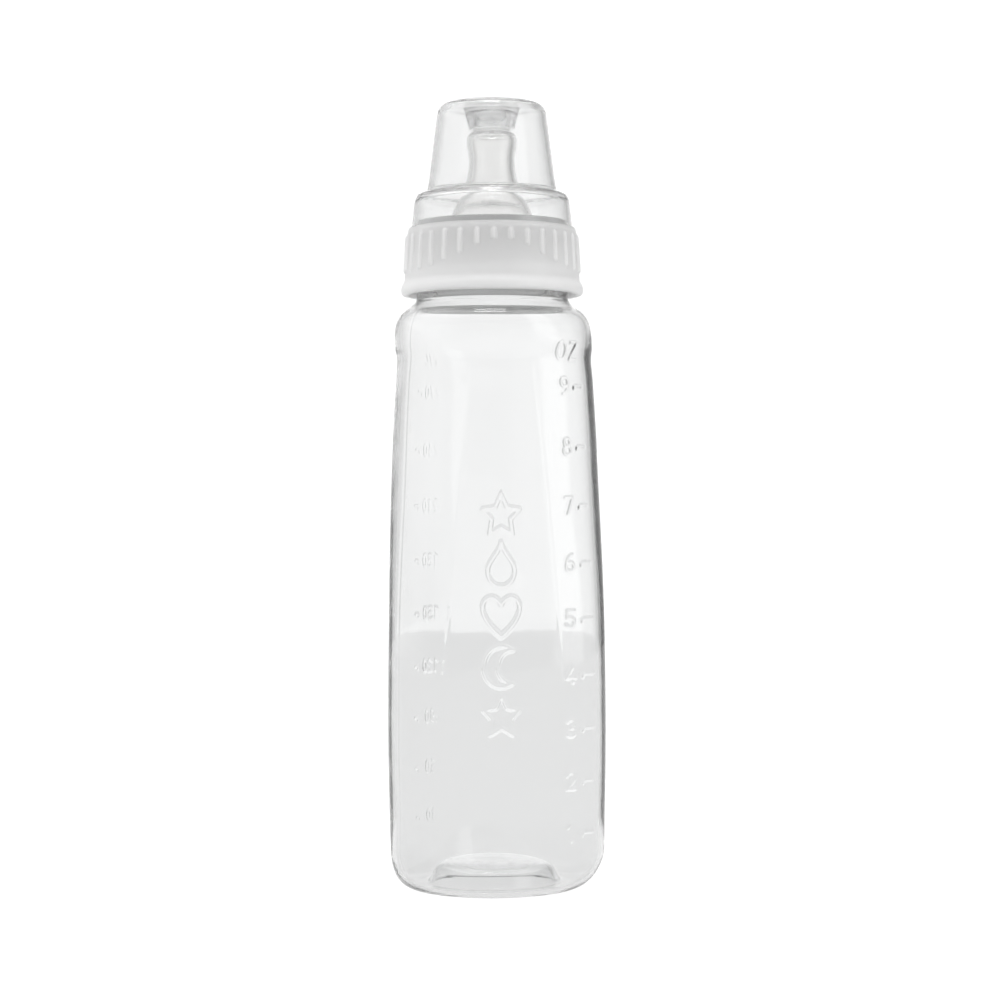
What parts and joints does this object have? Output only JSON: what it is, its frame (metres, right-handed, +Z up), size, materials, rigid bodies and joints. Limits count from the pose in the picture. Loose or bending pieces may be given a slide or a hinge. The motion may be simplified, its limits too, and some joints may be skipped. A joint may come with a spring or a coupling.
{
  "type": "baby bottle",
  "caption": "Clear feeding bottle with a rounded three-sided body, silicone nipple, ribbed screw collar and clear protective hood.",
  "frame": {"origin": "centre of the bounding box at the level of the standing ring, on the surface that the bottle stands on", "axes": "+Z up along the neck axis, +Y towards the body's back corner, -Y out of its front panel, +X to the right"},
  "size_m": [0.0568, 0.0557, 0.2063],
  "materials": {
    "clear_bottle": "clear polypropylene, glossy, very slightly hazy, moulded graduations",
    "silicone": "clear silicone with a soft satin surface",
    "milky_collar": "milky translucent polypropylene, semi-gloss",
    "clear_hood": "clear polypropylene, glossy"
  },
  "bodies": {
    "bottle": {"bottle": "clear_bottle"},
    "nipple": {"nipple": "silicone"},
    "collar": {"collar": "milky_collar"},
    "hood": {"hood": "clear_hood"}
  },
  "joints": [
    {"name": "nipple_lift", "type": "slide", "parent": "bottle", "child": "nipple", "axis": [0, 0, 1], "range_m": [0, 0.00471]},
    {"name": "collar_turn", "type": "hinge", "parent": "nipple", "child": "collar", "pos_m": [0, -0.0029, 0.1632], "axis": [0, 0, 1], "range_deg": [0, 400]},
    {"name": "hood_pull", "type": "slide", "parent": "collar", "child": "hood", "axis": [0, 0, 1], "range_m": [0, 0.04]}
  ],
  "couplings": [
    {"joint": "nipple_lift", "follows": "collar_turn", "m_per_rad": 0.00067376}
  ]
}
